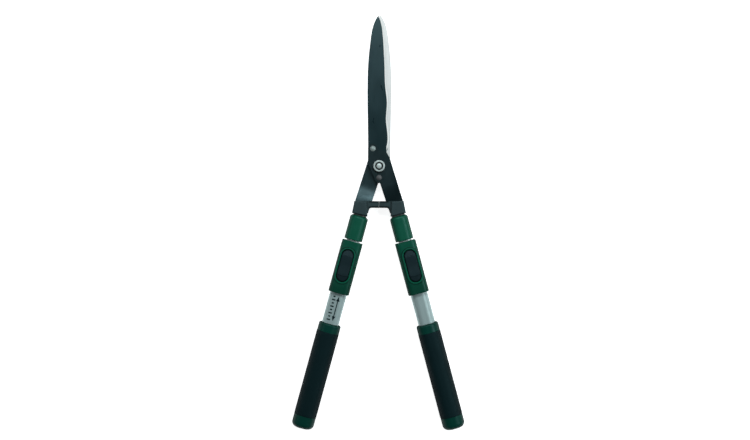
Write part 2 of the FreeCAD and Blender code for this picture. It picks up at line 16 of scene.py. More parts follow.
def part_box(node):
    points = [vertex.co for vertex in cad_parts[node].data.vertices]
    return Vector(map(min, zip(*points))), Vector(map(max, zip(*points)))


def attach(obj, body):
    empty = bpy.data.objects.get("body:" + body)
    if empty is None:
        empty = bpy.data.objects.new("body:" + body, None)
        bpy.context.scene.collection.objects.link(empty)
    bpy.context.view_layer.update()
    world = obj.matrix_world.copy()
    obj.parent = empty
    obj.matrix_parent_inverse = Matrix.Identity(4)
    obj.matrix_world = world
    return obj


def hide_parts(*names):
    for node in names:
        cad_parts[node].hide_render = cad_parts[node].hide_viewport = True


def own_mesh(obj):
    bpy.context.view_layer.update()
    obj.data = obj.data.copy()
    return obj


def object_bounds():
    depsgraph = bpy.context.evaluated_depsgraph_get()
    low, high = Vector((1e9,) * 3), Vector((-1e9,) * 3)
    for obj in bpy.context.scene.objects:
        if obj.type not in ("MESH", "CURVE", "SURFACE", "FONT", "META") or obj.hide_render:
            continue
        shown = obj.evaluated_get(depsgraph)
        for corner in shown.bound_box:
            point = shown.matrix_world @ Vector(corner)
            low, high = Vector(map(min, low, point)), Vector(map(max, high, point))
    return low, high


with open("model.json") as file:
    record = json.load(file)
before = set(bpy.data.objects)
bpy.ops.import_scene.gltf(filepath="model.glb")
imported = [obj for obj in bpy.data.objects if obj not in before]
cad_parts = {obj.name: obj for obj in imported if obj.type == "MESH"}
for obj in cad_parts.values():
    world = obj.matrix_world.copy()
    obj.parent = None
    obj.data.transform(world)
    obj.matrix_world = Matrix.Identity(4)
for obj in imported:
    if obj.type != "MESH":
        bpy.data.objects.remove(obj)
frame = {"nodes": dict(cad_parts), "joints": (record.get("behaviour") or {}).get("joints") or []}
cad_low, cad_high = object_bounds()

MM = 0.001
SIDES = ("left", "right")
joints = {joint["name"]: joint for joint in frame["joints"]}
nodes = frame["nodes"]


# --- finishes ------------------------------------------------------------------

# The first four are bands, each given as its middle and its width.
RIM_HIGHLIGHT = (2.6 * MM, 2.6 * MM)  # painted highlight on the housing's raised rim, counted out from the rocker
RIM_SHADE_LINE = (4.8 * MM, 1.5 * MM)  # painted shade line round the rim's foot
TANG_SHINE = (2.0 * MM, 13.0 * MM)  # the rear tang's painted highlight band, counted up from the bumper arms
SEAM_SHADE = (2.0 * MM, 8.0 * MM)  # the inner tube's painted shade ring, counted up from its collar
BOLT_GROOVE = (4.1 * MM, 7.0 * MM)  # radii of the black paint on the bolt's head
HANDWARD_SHADE_REACH = 45.0 * MM  # length over which the housing gets darker towards the hand, painted shade
ARM_REACH = 14.0 * MM  # length of each bumper arm
ARM_FADE = 5.0 * MM  # length over which its painted shade fades into the ferrule
STRIP_LEAN = 0.0615  # how far the blade's bright strip leans towards the middle, per length
STRIP_BRIGHT = (17.0 * MM, 20.0 * MM)  # from dull to bright steel, across the blade plus its lean
STRIP_RAGGED = 4.0 * MM  # how far stains push the strip's edge
COLD_SHEEN = (0.62, 0.92, 1.0, 1.0)  # colour of what coatings and mouldings reflect
PLASTIC_SHEEN = 0.22
RUBBER_SHEEN = 0.18
LINE_SIZE = 0.35 * MM  # drawn and ground lines
LINE_DEPTH = 0.012 * MM
LINES_ACROSS = (30, 1, 1)  # stretch of the ground lines on the blades
LINES_ALONG = (1, 90, 1)  # and of the drawn lines on the tubes
EDGE_COSINES = (0.998, 0.93)  # between true and rounded normal, away from an edge and on it
MIX_COLOURS = (6, 7)  # the Mix node's sockets for two colours
MIX_RESULT = 2


class Finish:
    """A material being made: its Principled shader and the patterns that feed it."""

    def __init__(self, name, turn=0.0):
        """Patterns follow the object's own axes, turned about Z by the given angle."""
        self.material = bpy.data.materials.new(name)
        self.material.use_nodes = True
        self.tree = self.material.node_tree
        self.shader = self.tree.nodes["Principled BSDF"]
        own = self.node("ShaderNodeTexCoord").outputs["Object"]
        self.place = self.node("ShaderNodeMapping", Vector=own, Rotation=(0, 0, -turn)).outputs[0]

    def node(self, kind, **inputs):
        """A node with its inputs set or linked by name."""
        made = self.tree.nodes.new(kind)
        for name, value in inputs.items():
            self.feed(made.inputs[name.replace("_", " ")], value)
        return made

    def feed(self, socket, value):
        """Links another node's output to the socket, or sets the socket's own value."""
        if isinstance(value, bpy.types.NodeSocket):
            self.tree.links.new(value, socket)
        else:
            socket.default_value = value

    def set(self, **inputs):
        """Feeds the Principled shader's inputs by name."""
        for name, value in inputs.items():
            self.feed(self.shader.inputs[name.replace("_", " ")], value)

    def noise(self, size, stretch=(1, 1, 1), detail=3.0):
        """Soft noise from 0 to 1 in lumps of about the given size in metres."""
        scale = tuple(1 / (size * s) for s in stretch)
        scaled = self.node("ShaderNodeMapping", Vector=self.place, Scale=scale).outputs[0]
        return self.node("ShaderNodeTexNoise", Vector=scaled, Scale=1.0, Detail=detail).outputs["Fac"]

    def cells(self, size):
        """Rounded cells of about the given size in metres, 0 at their middles."""
        scaled = self.node("ShaderNodeMapping", Vector=self.place, Scale=(1 / size,) * 3).outputs[0]
        return self.node("ShaderNodeTexVoronoi", Vector=scaled, Scale=1.0).outputs["Distance"]

    def span(self, value, low, high, to_low=0.0, to_high=1.0):
        """The value's stretch from low to high, laid onto another stretch and clamped."""
        made = self.node(
            "ShaderNodeMapRange", Value=value, From_Min=low, From_Max=high, To_Min=to_low, To_Max=to_high
        )
        return made.outputs[0]

    def maths(self, operation, a, b):
        """A sum, product or the like of two values."""
        made = self.tree.nodes.new("ShaderNodeMath")
        made.operation = operation
        self.feed(made.inputs[0], a)
        self.feed(made.inputs[1], b)
        return made.outputs[0]

    def mix(self, factor, first, second):
        """One colour passing into another."""
        made = self.tree.nodes.new("ShaderNodeMix")
        made.data_type = "RGBA"
        self.feed(made.inputs["Factor"], factor)
        for socket, colour in zip(MIX_COLOURS, (first, second)):
            self.feed(made.inputs[socket], colour)
        return made.outputs[MIX_RESULT]

    def along(self, axis):
        """The place's own x, y or z."""
        return self.node("ShaderNodeSeparateXYZ", Vector=self.place).outputs[axis]

    def edges(self, radius):
        """1 on sharp edges, fading to 0 the given distance away."""
        bevel = self.node("ShaderNodeBevel", Radius=radius)
        bevel.samples = 4
        flat = self.node("ShaderNodeNewGeometry").outputs["Normal"]
        dot = self.tree.nodes.new("ShaderNodeVectorMath")
        dot.operation = "DOT_PRODUCT"
        self.feed(dot.inputs[0], bevel.outputs[0])
        self.feed(dot.inputs[1], flat)
        return self.span(dot.outputs["Value"], *EDGE_COSINES)

    def away(self, value, middle):
        """How far the value is from the middle, on either side."""
        return self.maths("ABSOLUTE", self.maths("SUBTRACT", value, middle), 0.0)

    def from_slot(self, centre, straight, half):
        """Distance outside a slot shape that runs along the pattern's own Y."""
        x = self.away(self.along("X"), centre[0])
        y = self.away(self.along("Y"), centre[1])
        y = self.maths("MAXIMUM", self.maths("SUBTRACT", y, straight), 0.0)
        squares = self.maths("ADD", self.maths("MULTIPLY", x, x), self.maths("MULTIPLY", y, y))
        return self.maths("SUBTRACT", self.maths("POWER", squares, 0.5), half)

    def from_axis(self, centre):
        """Distance from an upright line through the given place."""
        return self.from_slot(centre, 0.0, 0.0)

    def band(self, value, middle, width):
        """1 round the middle, fading to 0 at 0.7 of the width on both sides."""
        return self.span(self.away(value, middle), 0.3 * width, 0.7 * width, 1.0, 0.0)

    def flank(self, low):
        """1 on faces that look up or down, falling to the given value on upright ones; darkening a
        colour, it is painted shade on the sides.
        """
        normal = self.node("ShaderNodeTexCoord").outputs["Normal"]
        upright = self.node("ShaderNodeSeparateXYZ", Vector=normal).outputs["Z"]
        return self.span(self.maths("ABSOLUTE", upright, 0.0), 0.15, 0.95, low, 1.0)

    def creases(self, reach, low):
        """1 on open faces, falling to the given value in corners narrower than the reach; darkening a
        colour, it is painted shade in corners.
        """
        hidden = self.node("ShaderNodeAmbientOcclusion", Distance=reach)
        hidden.samples = 6
        return self.span(hidden.outputs["AO"], 0.35, 0.85, low, 1.0)

    def shade(self, colour, amount):
        """A colour multiplied by a value."""
        return self.mix(amount, (0.0, 0.0, 0.0, 1.0), colour)

    def bump(self, height, depth):
        """Relief of the given depth in metres, from a height between 0 and 1."""
        made = self.node("ShaderNodeBump", Height=height, Distance=depth, Strength=1.0)
        self.set(Normal=made.outputs[0])


def srgb(red, green, blue):
    """A colour from its usual 0 to 255 values, as the shader takes it."""
    def linear(value):
        value /= 255
        return value / 12.92 if value <= 0.04045 else ((value + 0.055) / 1.055) ** 2.4
    return (linear(red), linear(green), linear(blue), 1.0)


def scaled(colour, by):
    """The colour made lighter or darker."""
    return tuple(channel * by for channel in colour[:3]) + (1.0,)


def plastic(name, colour, roughness, grain, wear=0.15, turn=0.0, slot=None):
    """Moulded plastic: a fine spark-eroded grain, cloudy tone, painted shade on the sides and in
    corners, paler worn edges.
    Round a slot, given as centre, straight half and half width, its rim gets a painted highlight and a
    painted shade line round its foot, and the end towards the hand is darker, painted shade."""
    f = Finish(name, turn)
    cloud = f.noise(18 * MM, detail=4.0)
    speck = f.noise(1.1 * MM, detail=2.0)
    tone = f.mix(cloud, scaled(colour, 0.86), scaled(colour, 1.13))
    tone = f.mix(f.span(speck, 0.45, 0.75, 0.0, 0.14), tone, scaled(colour, 1.8))
    wear_and_highlight = f.maths("MULTIPLY", f.edges(0.7 * MM), f.span(f.noise(5 * MM), 0.4, 0.7, 0.3, 1.0))
    tone = f.mix(f.maths("MULTIPLY", wear_and_highlight, wear), tone, scaled(colour, 2.4))
    if slot:
        # Painted shade: the housing darkens towards the hand, away from the head lamp.
        handward = f.maths("SUBTRACT", slot[0].y, f.along("Y"))
        tone = f.mix(f.span(handward, 0.0, HANDWARD_SHADE_REACH, 0.0, 0.5), tone, scaled(colour, 0.2))
        # Painted light round the rocker: a highlight band on the rim and a shade line round its foot.
        outside = f.from_slot(*slot)
        tone = f.mix(f.band(outside, *RIM_HIGHLIGHT), tone, scaled(colour, 1.35))
        tone = f.mix(f.band(outside, *RIM_SHADE_LINE), tone, scaled(colour, 0.35))
    # The base colour carries painted shade: darker on upright sides and in corners.
    f.set(
        Base_Color=f.shade(tone, f.maths("MULTIPLY", f.flank(0.4), f.creases(3 * MM, 0.3))),
        Roughness=f.span(cloud, 0.3, 0.7, roughness - 0.06, roughness + 0.07),
        Specular_IOR_Level=f.maths("MULTIPLY", f.flank(0.0), PLASTIC_SHEEN),
        Specular_Tint=COLD_SHEEN,
    )
    f.bump(f.noise(grain, detail=2.0), 0.05 * MM)
    return f.material


def rubber(name, colour, roughness, grain):
    """Soft matt rubber: a pebbled skin with dusty, slightly shiny patches."""
    f = Finish(name)
    cloud = f.noise(25 * MM, detail=4.0)
    tone = f.mix(cloud, scaled(colour, 0.8), scaled(colour, 1.25))
    dust = f.span(f.noise(3 * MM, detail=5.0), 0.55, 0.8, 0.0, 0.22)
    tone = f.mix(dust, tone, scaled(colour, 2.0))
    # The base colour carries painted shade: darker on upright sides.
    f.set(
        Base_Color=f.shade(tone, f.flank(0.4)),
        Roughness=f.span(cloud, 0.3, 0.7, roughness + 0.05, roughness - 0.07),
        Specular_IOR_Level=f.maths("MULTIPLY", f.flank(0.0), RUBBER_SHEEN),
        Specular_Tint=COLD_SHEEN,
    )
    f.bump(f.cells(grain), 0.06 * MM)
    return f.material


def coated_steel(name, colour, roughness, wear, specular=0.4, wear_and_highlight=None):
    """Steel under a thin dark coating: lengthwise streaks, steel showing at the edges, painted shade on
    the sides.
    A band given as its place along Y and its width is a painted highlight, paler."""
    f = Finish(name)
    streaks = f.noise(1.2 * MM, (1, 40, 1))
    cloud = f.noise(22 * MM, (1, 2.5, 1), detail=4.0)
    tone = f.mix(cloud, scaled(colour, 0.82), scaled(colour, 1.2))
    tone = f.mix(f.span(streaks, 0.35, 0.75, 0.0, 0.3), tone, scaled(colour, 1.9))
    # Painted highlight: a paler band on the tang where its bend would catch the head lamp.
    if wear_and_highlight:
        tone = f.mix(f.band(f.along("Y"), *wear_and_highlight), tone, srgb(52, 70, 74))
    chips = f.span(f.noise(2.2 * MM, detail=5.0), 0.52, 0.66)
    bare = f.maths("MULTIPLY", f.maths("MULTIPLY", f.edges(0.45 * MM), chips), wear)
    # The base colour carries painted shade: darker on upright sides.
    f.set(
        Base_Color=f.shade(f.mix(bare, tone, srgb(150, 158, 160)), f.flank(0.35)),
        Metallic=bare,
        Roughness=f.span(cloud, 0.3, 0.7, roughness - 0.05, roughness + 0.08),
        Specular_IOR_Level=specular,
        Specular_Tint=COLD_SHEEN,
    )
    f.bump(f.maths("ADD", f.noise(0.5 * MM, detail=2.0), streaks), 0.02 * MM)
    return f.material


def bare_metal(name, colour, roughness, metallic=1.0, turn=0.0, streak=(1, 1, 1), stain_and_shade=None):
    """Uncoated metal with fine marks, drawn out into lines by the streak, and dull handling marks.
    A band, given as its place along the pattern's own Y and its width, is painted shade, a dark band."""
    f = Finish(name, turn)
    lines = f.noise(LINE_SIZE, streak)
    cloud = f.noise(14 * MM, detail=5.0)
    tone = f.mix(lines, scaled(colour, 0.86), scaled(colour, 1.1))
    tone = f.mix(f.span(cloud, 0.45, 0.8, 0.0, 0.25), tone, scaled(colour, 0.72))
    # Painted shade: a dark band on the part of the tube that lies in a gap between parts.
    if stain_and_shade:
        tone = f.mix(f.band(f.along("Y"), *stain_and_shade), tone, scaled(colour, 0.06))
    f.set(
        Base_Color=tone,
        Metallic=metallic,
        Roughness=f.span(f.maths("ADD", lines, cloud), 0.7, 1.4, roughness - 0.06, roughness + 0.1),
    )
    f.bump(lines, LINE_DEPTH)
    return f.material


def ground_steel(name, toward):
    """A blade's flat inner face: dull and sap-stained where the closed blades cover each other, and
    bright on the strip left open, on the side that toward says, 1 for +X or -1 for -X."""
    f = Finish(name)
    lines = f.noise(LINE_SIZE, LINES_ACROSS)
    stain_and_shade = f.noise(10 * MM, detail=5.0)
    across = f.maths("MULTIPLY", f.along("X"), toward)
    lean = f.maths("ADD", across, f.maths("MULTIPLY", f.along("Y"), STRIP_LEAN))
    ragged = f.maths("ADD", lean, f.maths("MULTIPLY", stain_and_shade, STRIP_RAGGED))
    dull = f.mix(f.span(stain_and_shade, 0.35, 0.65), srgb(124, 134, 136), srgb(166, 174, 174))
    tone = f.mix(f.span(ragged, *STRIP_BRIGHT), dull, srgb(231, 231, 229))
    f.set(
        Base_Color=f.shade(tone, f.span(lines, 0.3, 0.7, 0.9, 1.0)),
        Metallic=0.1,
        Roughness=f.span(f.maths("ADD", lines, stain_and_shade), 0.7, 1.4, 0.36, 0.52),
    )
    f.bump(lines, LINE_DEPTH)
    return f.material


def cast_metal(name, colour, roughness, arm):
    """A painted casting: shallow orange peel, soft tone, painted shade in corners and on the sides, and
    worn edges.
    On its arm, given as its lowest and highest y, painted shade darkens the rounded edges."""
    f = Finish(name)
    cloud = f.noise(12 * MM, detail=4.0)
    peel = f.noise(1.4 * MM, detail=2.0)
    tone = f.mix(cloud, scaled(colour, 0.8), scaled(colour, 1.2))
    # Painted shade: the bumper arms darken towards their rounded edges, with less sheen there.
    half = (arm[1] - arm[0]) / 2
    across = f.away(f.along("Y"), arm[0] + half)
    on_arm = f.span(f.away(f.along("X"), 0.0), ARM_REACH, ARM_REACH + ARM_FADE, 1.0, 0.0)
    arm_shade = f.maths("MULTIPLY", f.span(across, 0.3 * half, 0.9 * half, 0.0, 0.95), on_arm)
    tone = f.mix(arm_shade, tone, scaled(colour, 0.1))
    worn = f.maths("MULTIPLY", f.edges(0.6 * MM), f.span(f.noise(3 * MM, detail=4.0), 0.5, 0.7))
    tone = f.mix(f.maths("MULTIPLY", worn, 0.3), tone, srgb(108, 114, 116))
    # The base colour carries painted shade: darker in corners and on upright sides.
    f.set(
        Base_Color=f.shade(tone, f.maths("MULTIPLY", f.flank(0.25), f.creases(3 * MM, 0.3))),
        Roughness=f.span(peel, 0.3, 0.7, roughness - 0.05, roughness + 0.08),
        Specular_IOR_Level=f.span(arm_shade, 0.0, 0.9, 0.4, 0.02),
        Specular_Tint=COLD_SHEEN,
    )
    f.bump(peel, 0.06 * MM)
    return f.material


# --- places on the handles, and what dresses them -------------------------------

SPOT = 5.0 * MM  # half width of the place beside X = 0 where the bumper arms are measured
SMOOTH_BELOW = math.radians(35)  # angle between a new piece's faces
INNER_FACING = -0.5  # a blade's inner face looks away from its outer side by this much or more
BEVEL_FACING = (0.3, 0.9)  # and its bevels look partly outwards
COATED, BEVELLED, INNER = range(3)


def handle_axes(side):
    """A handle's frame as a matrix: x across, y up the handle, z up, from the tube's middle line
    beside the rocker's axle."""
    along = Vector(joints[f"{side}_extension"]["axis"])
    across = Vector((-along.y, along.x, 0))
    beside = [across.dot(v.co) for v in nodes[f"{side}_outer_tube"].data.vertices]
    axle = Vector(joints[f"{side}_rocker_tip"]["pos_m"])
    start = across * (min(beside) + max(beside)) / 2 + along * along.dot(axle)
    start.z = joints["blade_pivot"]["pos_m"][2]
    rows = [(across[i], -along[i], (0, 0, 1)[i], start[i]) for i in range(3)]
    return Matrix(rows + [(0, 0, 0, 1)])


def handle_box(side, name):
    """A CAD node's lowest and highest corners in its handle's own frame."""
    into = handle_axes(side).inverted()
    points = [into @ v.co for v in nodes[name].data.vertices]
    lowest = Vector([min(p[i] for p in points) for i in range(3)])
    highest = Vector([max(p[i] for p in points) for i in range(3)])
    return lowest, highest


def arm_edges():
    """Lowest and highest y of the bumper arms, where they meet."""
    near = [v.co.y for v in nodes["left_ferrule"].data.vertices if abs(v.co.x) < SPOT]
    return min(near), max(near)


def dress_faces(name, finishes, pick):
    """Gives a CAD node several finishes; pick says which one a face takes."""
    mesh = nodes[name].data
    mesh.materials.clear()
    for finish in finishes:
        mesh.materials.append(finish)
    for face in mesh.polygons:
        face.material_index = pick(face)


def dress(finish, *names):
    """Gives CAD nodes one finish all over."""
    for name in names:
        dress_faces(name, [finish], lambda face: 0)


def both(*names):
    """Each node's name on the left handle and on the right one."""
    return [f"{side}_{name}" for side in SIDES for name in names]


def new_piece(name, build, finish, body, stands_for=(), frame_matrix=None):
    """A piece made by a function that fills a bmesh, riding on a CAD body. It is built in the frame
    of the given matrix, or else in the object's own, and may stand for CAD nodes."""
    mesh = bpy.data.meshes.new(name)
    shape = bmesh.new()
    build(shape)
    bmesh.ops.recalc_face_normals(shape, faces=shape.faces)
    if frame_matrix:
        bmesh.ops.transform(shape, matrix=frame_matrix, verts=shape.verts)
    shape.to_mesh(mesh)
    shape.free()
    mesh.materials.append(finish)
    for polygon in mesh.polygons:
        polygon.use_smooth = True
    mesh.set_sharp_from_angle(angle=SMOOTH_BELOW)
    piece = bpy.data.objects.new(name, mesh)
    bpy.context.scene.collection.objects.link(piece)
    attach(piece, body)
    if stands_for:
        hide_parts(*stands_for)
    return piece


def bridge(shape, rows, closed=False):
    """Quads between neighbouring rows of vertices; closed joins each row's ends too."""
    for first, second in zip(rows, rows[1:]):
        count = len(first) if closed else len(first) - 1
        for i in range(count):
            j = (i + 1) % len(first)
            shape.faces.new((first[i], first[j], second[j], second[i]))


def dress_blades():
    """Blades: coated outside, with a ground bevel and a ground inner face."""
    coating = coated_steel("Blade_Coating", srgb(12, 30, 34), 0.31, wear=0.1, specular=0.42)
    bevel = bare_metal("Ground_Bevel", srgb(233, 233, 231), 0.42, metallic=0.1, streak=LINES_ACROSS)
    for name, outward in (("front_blade", 1), ("rear_blade", -1)):

        def pick(face):
            """Which finish a face takes, from how far it looks outwards."""
            facing = face.normal.z * outward
            if facing < INNER_FACING:
                return INNER
            return BEVELLED if BEVEL_FACING[0] < facing < BEVEL_FACING[1] else COATED

        dress_faces(name, (coating, bevel, ground_steel(f"Ground_{name}", -outward)), pick)


def dress_hardware():
    """Tangs, rivets, washers and the nut's insert."""
    # The front tang's coating is a darker copy of the rear tang's: painted shade on the tang that tilts
    # away from the head lamp.
    front = coated_steel("Tang_Coating", srgb(4, 16, 18), 0.33, wear=0.1, specular=0.52)
    dress(front, "front_tang")
    # The rear tang gets a painted highlight band just above the bumper arms.
    above, width = TANG_SHINE
    shine = (arm_edges()[1] + above, width)
    rear = coated_steel(
        "Tang_Coating_Rear", srgb(8, 24, 27), 0.35, wear=0.1, specular=0.72, wear_and_highlight=shine
    )
    dress(rear, "rear_tang")
    bright_rivet = bare_metal("Rivet_Steel", srgb(142, 156, 154), 0.5, metallic=0.5)
    dark_rivet = bare_metal("Rivet_Steel_Dark", srgb(88, 90, 92), 0.55, metallic=0.5)
    pivot_y = joints["blade_pivot"]["pos_m"][1]
    for name in ("front_blade_rivets", "rear_blade_rivets"):
        dress_faces(name, (bright_rivet, dark_rivet), lambda face: int(face.center.y < pivot_y))
    black = coated_steel("Washer_Black", srgb(26, 30, 32), 0.4, wear=0.8)
    dress(black, "tension_washer", "rear_washer")
    dress(plastic("Nylon_Insert", srgb(70, 108, 160), 0.45, 0.8 * MM), "lock_nut_insert")


def dress_bolt():
    """Bright bolt and nut, with black paint in the groove of the bolt's head."""
    dress(bare_metal("Pivot_Steel", srgb(196, 210, 208), 0.38, metallic=0.55), "lock_nut")
    f = Finish("Pivot_Head")
    inner, outer = BOLT_GROOVE
    reach = f.from_axis(joints["blade_pivot"]["pos_m"])
    scuffs = f.noise(0.9 * MM, detail=4.0)
    paint = f.band(reach, (inner + outer) / 2, outer - inner)
    steel = f.mix(scuffs, srgb(176, 192, 190), srgb(214, 224, 222))
    f.set(
        Base_Color=f.mix(paint, steel, srgb(6, 12, 13)),
        Metallic=f.maths("MULTIPLY", f.maths("SUBTRACT", 1.0, paint), 0.55),
        Roughness=f.span(scuffs, 0.3, 0.7, 0.34, 0.48),
        Specular_IOR_Level=0.3,
    )
    f.bump(scuffs, 0.01 * MM)
    dress(f.material, "pivot_bolt")


def dress_handle(side):
    """A handle's tubes and lock housing, whose patterns follow the handle's slant."""
    axes = handle_axes(side)
    turn = math.asin(axes[1][0])

    def in_pattern(place):
        """A place in the handle's frame, as the turned patterns see it."""
        return Matrix.Rotation(-turn, 3, "Z") @ (axes @ place)

    outer = bare_metal(
        f"Tube_Aluminium_{side}", srgb(163, 183, 183), 0.46, metallic=0.3, turn=turn, streak=LINES_ALONG
    )
    dress(outer, f"{side}_outer_tube")
    low, high = handle_box(side, f"{side}_lock_lever")
    half = (high.x - low.x) / 2
    slot = (in_pattern((low + high) / 2), (high.y - low.y) / 2 - half, half)
    housing = plastic(f"Green_Plastic_{side}", srgb(8, 76, 57), 0.40, 0.9 * MM, turn=turn, slot=slot)
    dress(housing, f"{side}_lock_housing")
    # The inner tube gets painted shade in the gap between its collar and the ferrule.
    above, width = SEAM_SHADE
    seam = in_pattern(Vector((0, handle_box(side, f"{side}_tube_collar")[1].y + above, 0))).y
    inner = bare_metal(
        f"Tube_Inner_{side}", srgb(206, 226, 223), 0.4, metallic=0.2, turn=turn, streak=LINES_ALONG,
        stain_and_shade=(seam, width),
    )
    dress(inner, f"{side}_inner_tube")


def dress_mouldings():
    """Ferrules, collars and caps, the plastic inside, and the handles' pins, screws and rivets."""
    dress(cast_metal("Ferrule_Casting", srgb(42, 54, 56), 0.5, arm_edges()), *both("ferrule"))
    # The collars' green is a lighter copy of the housings' green: painted light on the collars.
    dress(plastic("Green_Plastic", srgb(14, 82, 62), 0.40, 0.9 * MM), *both("tube_collar"))
    dark_green = plastic("Dark_Green_Plastic", srgb(0, 56, 46), 0.42, 0.9 * MM)
    dress(dark_green, *both("grip_collar", "end_cap"))
    black = plastic("Black_Plastic", srgb(22, 30, 34), 0.5, 1.0 * MM)
    dress(black, *both("guide_bush", "tube_glide", "tang_plug"))
    zinc = bare_metal("Zinc_Steel", srgb(168, 172, 172), 0.35)
    dress(zinc, *both("lock_pin", "housing_screws", "tang_rivets"))
    dress(coated_steel("Axle_Black", srgb(16, 20, 22), 0.5, wear=0.2), *both("lever_pin"))


dress_blades()
dress_hardware()
dress_bolt()
for side in SIDES:
    dress_handle(side)
dress_mouldings()


# --- rockers -------------------------------------------------------------------

ROCKER_SKIRT = 3.6 * MM  # from its top down to its underside
ROCKER_EDGE = 1.1 * MM  # rounding of the rim
ROCKER_PAD_AT = 9.0 * MM  # from each end to where its pad starts
ROCKER_PAD_SAG = 2.0 * MM  # how far the pad's edge falls back at the sides
ROCKER_STEP = 0.7 * MM  # length of the step between pad and end slope
ROCKER_DISH_REACH = 15.0 * MM  # half length of the dish
ROCKER_DISH = 0.8 * MM  # its depth below the pads
ROCKER_SHOULDER = 0.75 * MM  # the end slope's highest point below the pad
ROCKER_END_DROP = 1.8 * MM  # and how far it falls towards the end
SAME_POINT = 0.001 * MM  # points nearer than this are one
ROCKER_STEPS = (36, 40, 14)  # in each round end, from end to middle, and from middle to side


def smooth(value):
    """A soft step from 0 to 1."""
    t = min(max(value, 0.0), 1.0)
    return t * t * (3 - 2 * t)


def build_rocker(low, high):
    """A rocker with two raised pads, a dish between them and sloping ends, in the handle's frame."""
    half, reach = (high.x - low.x) / 2, (high.y - low.y) / 2
    centre, middle = (high.x + low.x) / 2, (high.y + low.y) / 2
    straight = reach - half

    def inset(x, y):
        """Distance in from the outline."""
        return half - math.hypot(x, max(0.0, abs(y) - straight))

    def height(x, y):
        """The top's height at a place counted from the rocker's middle."""
        bend = ROCKER_PAD_SAG * (x / half) ** 2
        edge = reach - ROCKER_PAD_AT - bend
        pad = high.z - ROCKER_DISH * (1 - smooth(abs(y) / ROCKER_DISH_REACH))
        slope = high.z - ROCKER_SHOULDER - ROCKER_END_DROP * max(0.0, abs(y) - edge) / ROCKER_PAD_AT
        z = slope + (pad - slope) * smooth((edge - abs(y)) / ROCKER_STEP + 0.5)
        short = ROCKER_EDGE - min(inset(x, y), ROCKER_EDGE)
        return z - ROCKER_EDGE + math.sqrt(max(0.0, ROCKER_EDGE**2 - short**2))

    def build(shape):
        end_steps, inner_steps, side_steps = ROCKER_STEPS
        ends = [straight + half * math.cos(math.pi / 2 * n / end_steps) for n in range(end_steps + 1)]
        inner = [straight - n * straight / inner_steps for n in range(1, 2 * inner_steps)]
        places = ends + inner + [-y for y in reversed(ends)]
        columns = [math.sin(math.pi / 2 * (n / side_steps - 1)) for n in range(2 * side_steps + 1)]
        rows = []
        for y in places:
            wide = math.sqrt(max(0.0, half**2 - max(0.0, abs(y) - straight) ** 2))
            rows.append([
                shape.verts.new((centre + wide * c, middle + y, height(wide * c, y))) for c in columns
            ])
        bridge(shape, rows)
        bmesh.ops.remove_doubles(shape, verts=shape.verts, dist=SAME_POINT)
        outline = [e for e in shape.edges if e.is_boundary]
        made = bmesh.ops.extrude_edge_only(shape, edges=outline)["geom"]
        for v in (v for v in made if isinstance(v, bmesh.types.BMVert)):
            v.co.z = high.z - ROCKER_SKIRT
        bmesh.ops.holes_fill(shape, edges=[e for e in shape.edges if e.is_boundary])

    return build


def rockers():
    """The two lock rockers, in place of their plain CAD shapes."""
    finish = plastic("Rocker_Black", srgb(22, 37, 41), 0.48, 0.7 * MM)
    for side in SIDES:
        name = f"{side}_lock_lever"
        new_piece(
            f"{side}_rocker_pad", build_rocker(*handle_box(side, name)), finish, f"{side}_rocker",
            (name,), handle_axes(side),
        )


# --- leaf springs --------------------------------------------------------------

LEAF_THICKNESS = 0.4 * MM
LEAF_FOOT = 4.0 * MM  # length that lies flat
LEAF_CURL = 1.6 * MM  # length of the tip that turns level again
LEAF_STEPS = 48


def build_leaf(low, high):
    """A bent strip: a flat foot, a rising leaf and a level tip, in the handle's frame."""
    rise = high.z - low.z - LEAF_THICKNESS
    length = high.y - low.y

    def build(shape):
        section = ((low.x, 0), (high.x, 0), (high.x, LEAF_THICKNESS), (low.x, LEAF_THICKNESS))
        rows = []
        for n in range(LEAF_STEPS + 1):
            along = length * n / LEAF_STEPS
            z = low.z + rise * smooth((along - LEAF_FOOT) / (length - LEAF_FOOT - LEAF_CURL))
            rows.append([shape.verts.new((x, high.y - along, z + up)) for x, up in section])
        bridge(shape, rows, closed=True)
        for row in (rows[0], rows[-1]):
            shape.faces.new(row)

    return build


def leaf_springs():
    """The rockers' return springs, each a bent leaf riding on its lower handle."""
    finish = bare_metal("Spring_Steel", srgb(150, 154, 156), 0.35)
    for side in SIDES:
        name = f"{side}_lock_spring"
        low, high = handle_box(side, name)
        leaf = new_piece(
            f"{side}_spring_leaf", build_leaf(low, high), finish, f"{side}_lower_handle",
            (name,), handle_axes(side),
        )
        foot = handle_axes(side) @ Vector(((low.x + high.x) / 2, high.y, low.z))
        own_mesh(leaf)


# --- grips ---------------------------------------------------------------------

GRIP_LIP = 1.0 * MM  # rounding of each end
GRIP_SEAM = 0.12 * MM  # height of the mould line on each side
GRIP_STEPS = (6, 40)  # in each rounded end, and along the sleeve
OVAL_STEPS = (18, 8)  # round each of its sides, and along each flat


def oval_ring(width, depth, seam=0.0):
    """Points round a flat oval with half-round sides, as (x, z), with a mould line on the sides."""
    around, across = OVAL_STEPS
    r = depth / 2
    flat = width / 2 - r
    points = []
    for way in (1, -1):
        for n in range(around + 1):
            a = math.pi / 2 - math.pi * n / around
            out = r + (seam if n == around // 2 else 0.0)
            points.append((way * (flat + out * math.cos(a)), way * r * math.sin(a)))
        for n in range(1, across):
            points.append((way * flat * (1 - 2 * n / across), -way * r))
    return points


